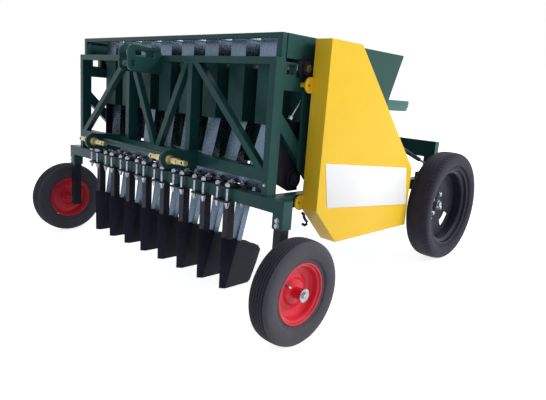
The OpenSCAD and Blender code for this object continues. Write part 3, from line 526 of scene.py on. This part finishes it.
def makeTyre(end, side, tyre):
    node = f"{end}_tyre_{side}"
    low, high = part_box(node)
    centre = middle(node)
    width = high[0] - low[0]
    half = tyreOutline((high[2] - low[2]) / 2, tyre["bead"], width)
    section = half + [Vector((-p.x, p.y)) for p in reversed(half[:-1])]
    mesh = bmesh.new()
    rings = []
    for step in range(tyre["steps"]):
        angle = 2 * math.pi * step / tyre["steps"]
        ring = []
        for point in section:
            r = point.y - treadDepth(tyre, point.x, width, angle)
            spot = Vector((point.x, r * math.cos(angle), r * math.sin(angle)))
            ring.append(mesh.verts.new(centre + spot))
        rings.append(ring)
    for first, second in zip(rings, rings[1:] + rings[:1]):
        for i in range(len(section) - 1):
            mesh.faces.new([first[i], first[i + 1], second[i + 1], second[i]])
        mesh.faces.new([first[-1], first[0], second[0], second[-1]])
    piece = newPiece(f"{end}Tyre{side.title()}", mesh, tyre["side"], f"{end}_wheel_{side}", "tyre")
    # The crown's faces take the tread look, darkened as painted shade
    piece.data.materials.append(looks[tyre["crown"]])
    treadHalf = crown["tread"] * crown["reach"] * width
    for face in piece.data.polygons:
        face.material_index = 1 if abs(face.center.x - centre.x) < treadHalf else 0
    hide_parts(node)


for end, tyre in (("front", frontTyre), ("rear", rearTyre)):
    for side in ("left", "right"):
        makeTyre(end, side, tyre)
print("tyres made")

# Rubber valves: where each comes through its rim, and how it leans out
frontValve = {"reach": 0.045, "radius": 0.1, "x": 0.008, "angle": 146, "tilt": 22}
rearValve = {"reach": 0.03, "radius": 0.17, "x": 0.004, "angle": 200, "tilt": 30}

# Radii and heights in metres, with the upper heights in shares of the valve's reach
valveStem = {"foot": 0.008, "footHeight": 0.004, "neck": 0.0055, "neckHeight": 0.009,
             "tip": 0.005, "tipShare": 0.72}
valveCap = {"side": 0.0042, "end": 0.003, "fromShare": 0.7, "edgeShare": 0.95}


# A wheel's own axes, with +X outwards on both sides of the machine
def wheelMatrix(end, side):
    outward = 1 if side == "right" else -1
    place = Matrix.Translation(middle(f"{end}_tyre_{side}"))
    return place @ leaning @ Matrix.Diagonal((outward, 1, 1, 1))


def addValve(end, side, valve):
    a = math.radians(valve["angle"])
    reach = valve["reach"]
    spot = Vector((valve["x"], valve["radius"] * math.cos(a), valve["radius"] * math.sin(a)))
    inward = Vector((math.tan(math.radians(valve["tilt"])), -math.cos(a), -math.sin(a)))
    turn = inward.to_track_quat("Z", "Y").to_matrix().to_4x4()
    matrix = wheelMatrix(end, side) @ Matrix.Translation(spot) @ turn
    body = f"{end}_wheel_{side}"
    stem = bmesh.new()
    addTurned(stem, matrix, [
        (valveStem["foot"], -valveStem["footHeight"]), (valveStem["foot"], valveStem["footHeight"]),
        (valveStem["neck"], valveStem["neckHeight"]), (valveStem["tip"], reach * valveStem["tipShare"]),
    ], 16)
    newPiece(f"{end}ValveStem{side.title()}", stem, "tyre", body)
    cap = bmesh.new()
    addTurned(cap, matrix, [
        (valveCap["side"], reach * valveCap["fromShare"]), (valveCap["side"], reach * valveCap["edgeShare"]),
        (valveCap["end"], reach),
    ], 12)
    newPiece(f"{end}ValveCap{side.title()}", cap, "zinc_steel", body)


for end, valve in (("front", frontValve), ("rear", rearValve)):
    for side in ("left", "right"):
        addValve(end, side, valve)

# Bolts that hold the rear rims on their hubs
wheelBolt = {"circle": 0.054, "count": 4, "first": 60, "thread": 0.012, "x": -0.0335}
towardsX = Matrix.Rotation(math.radians(90), 4, "Y")
for side in ("left", "right"):
    wheelBolts = bmesh.new()
    hub = wheelMatrix("rear", side)
    for k in range(wheelBolt["count"]):
        a = math.radians(wheelBolt["first"] + 360 / wheelBolt["count"] * k)
        spot = (wheelBolt["x"], wheelBolt["circle"] * math.cos(a), wheelBolt["circle"] * math.sin(a))
        addBolt(wheelBolts, hub @ Matrix.Translation(spot) @ towardsX, wheelBolt["thread"])
    newPiece(f"rearWheelBolts{side.title()}", wheelBolts, "white_zinc", f"rear_wheel_{side}")
print("wheel fittings made")

# Bent wire that the guard latches on, under its lower ear. Its place across the machine and its
# (y, z) bends are measured from the guard's lower front corner
hook = {"wire": 0.006, "x": 0.038,
        "bends": [(0.046, 0.124), (0.056, 0.116), (0.06, 0.104), (0.07, 0.092),
                  (0.08, 0.084), (0.079, 0.074), (0.066, 0.071), (0.054, 0.078)]}
guardHook = bmesh.new()
addWire(guardHook, [guardLow + Vector((hook["x"], y, z)) for y, z in hook["bends"]], hook["wire"])
newPiece("guardHook", guardHook, "black_paint")
print("guard hook made")


# 1 for a ray that comes from the camera, a reflection or glass, and 0 for light on the object
def seenDirectly(tree):
    path = addNode(tree, "ShaderNodeLightPath").outputs
    mirrored = addNode(tree, "ShaderNodeMath", {
        0: path["Is Camera Ray"], 1: path["Is Glossy Ray"],
    }, operation="MAXIMUM").outputs[0]
    return addNode(tree, "ShaderNodeMath", {
        0: mirrored, 1: path["Is Transmission Ray"],
    }, operation="MAXIMUM").outputs[0]


# Matt floor that glows only where it is seen, so that it looks white and still takes the shadow
floorLook = {"color": "#F4F4F4", "glowColor": "#FFFFFF", "glow": 0.8, "rough": 0.9, "size": 60.0}
bpy.ops.mesh.primitive_plane_add(size=floorLook["size"], location=(0.0, 0.0, 0.0))
floor = bpy.context.object
floor.name = "floor"
floorMaterial, floorTree, floorShader = newMaterial("Pale matt floor")
glow = addNode(floorTree, "ShaderNodeMath", {
    0: seenDirectly(floorTree), 1: floorLook["glow"],
}, operation="MULTIPLY").outputs[0]
fill(floorTree, floorShader, {
    "Base Color": linear(floorLook["color"]), "Roughness": floorLook["rough"],
    "Emission Color": linear(floorLook["glowColor"]), "Emission Strength": glow,
})
floor.data.materials.append(floorMaterial)

# White all round where it is seen, and a weaker cool light on the object
skyLook = {"seen": "#FFFFFF", "light": "#E6EEFF", "strength": 0.4}
world = bpy.data.worlds.new("Soft daylight")
bpy.context.scene.world = world
world.use_nodes = True
sky = world.node_tree
sky.nodes.clear()
skySeen = seenDirectly(sky)
skyStrength = addNode(sky, "ShaderNodeMapRange", {"Value": skySeen, "To Min": skyLook["strength"]})
skyColor = addNode(sky, "ShaderNodeMix", {
    0: skySeen, 6: linear(skyLook["light"]), 7: linear(skyLook["seen"]),
}, data_type="RGBA")
air = addNode(sky, "ShaderNodeBackground", {
    "Color": skyColor.outputs[2], "Strength": skyStrength.outputs["Result"],
})
addNode(sky, "ShaderNodeOutputWorld", {"Surface": air.outputs["Background"]})

# Wide soft lamps, aimed at this height over the middle; the key stands on the guard's side
lamps = {
    "key": {"place": (4.4, 2.4, 3.2), "aim": 0.4, "width": 2.6, "power": 190.0, "color": "#FFFDF8"},
    "fill": {"place": (-1.5, -5.0, 2.6), "aim": 0.5, "width": 3.5, "power": 20.0, "color": "#E8F2FF"},
    "rim": {"place": (-2.5, 4.0, 3.5), "aim": 0.6, "width": 3.0, "power": 30.0, "color": "#FFFFFF"},
}
lampShape = 0.7  # height to width
for name, lamp in lamps.items():
    lampData = bpy.data.lights.new(name, "AREA")
    lampData.shape = "RECTANGLE"
    lampData.size = lamp["width"]
    lampData.size_y = lamp["width"] * lampShape
    lampData.energy = lamp["power"]
    lampData.color = linear(lamp["color"])[:3]
    lampObject = bpy.data.objects.new(name, lampData)
    lampObject.location = lamp["place"]
    lampObject.rotation_mode = "QUATERNION"
    towards = Vector((0.0, 0.0, lamp["aim"])) - Vector(lamp["place"])
    lampObject.rotation_quaternion = towards.to_track_quat("-Z", "Y")
    bpy.context.scene.collection.objects.link(lampObject)
print("floor and light set")
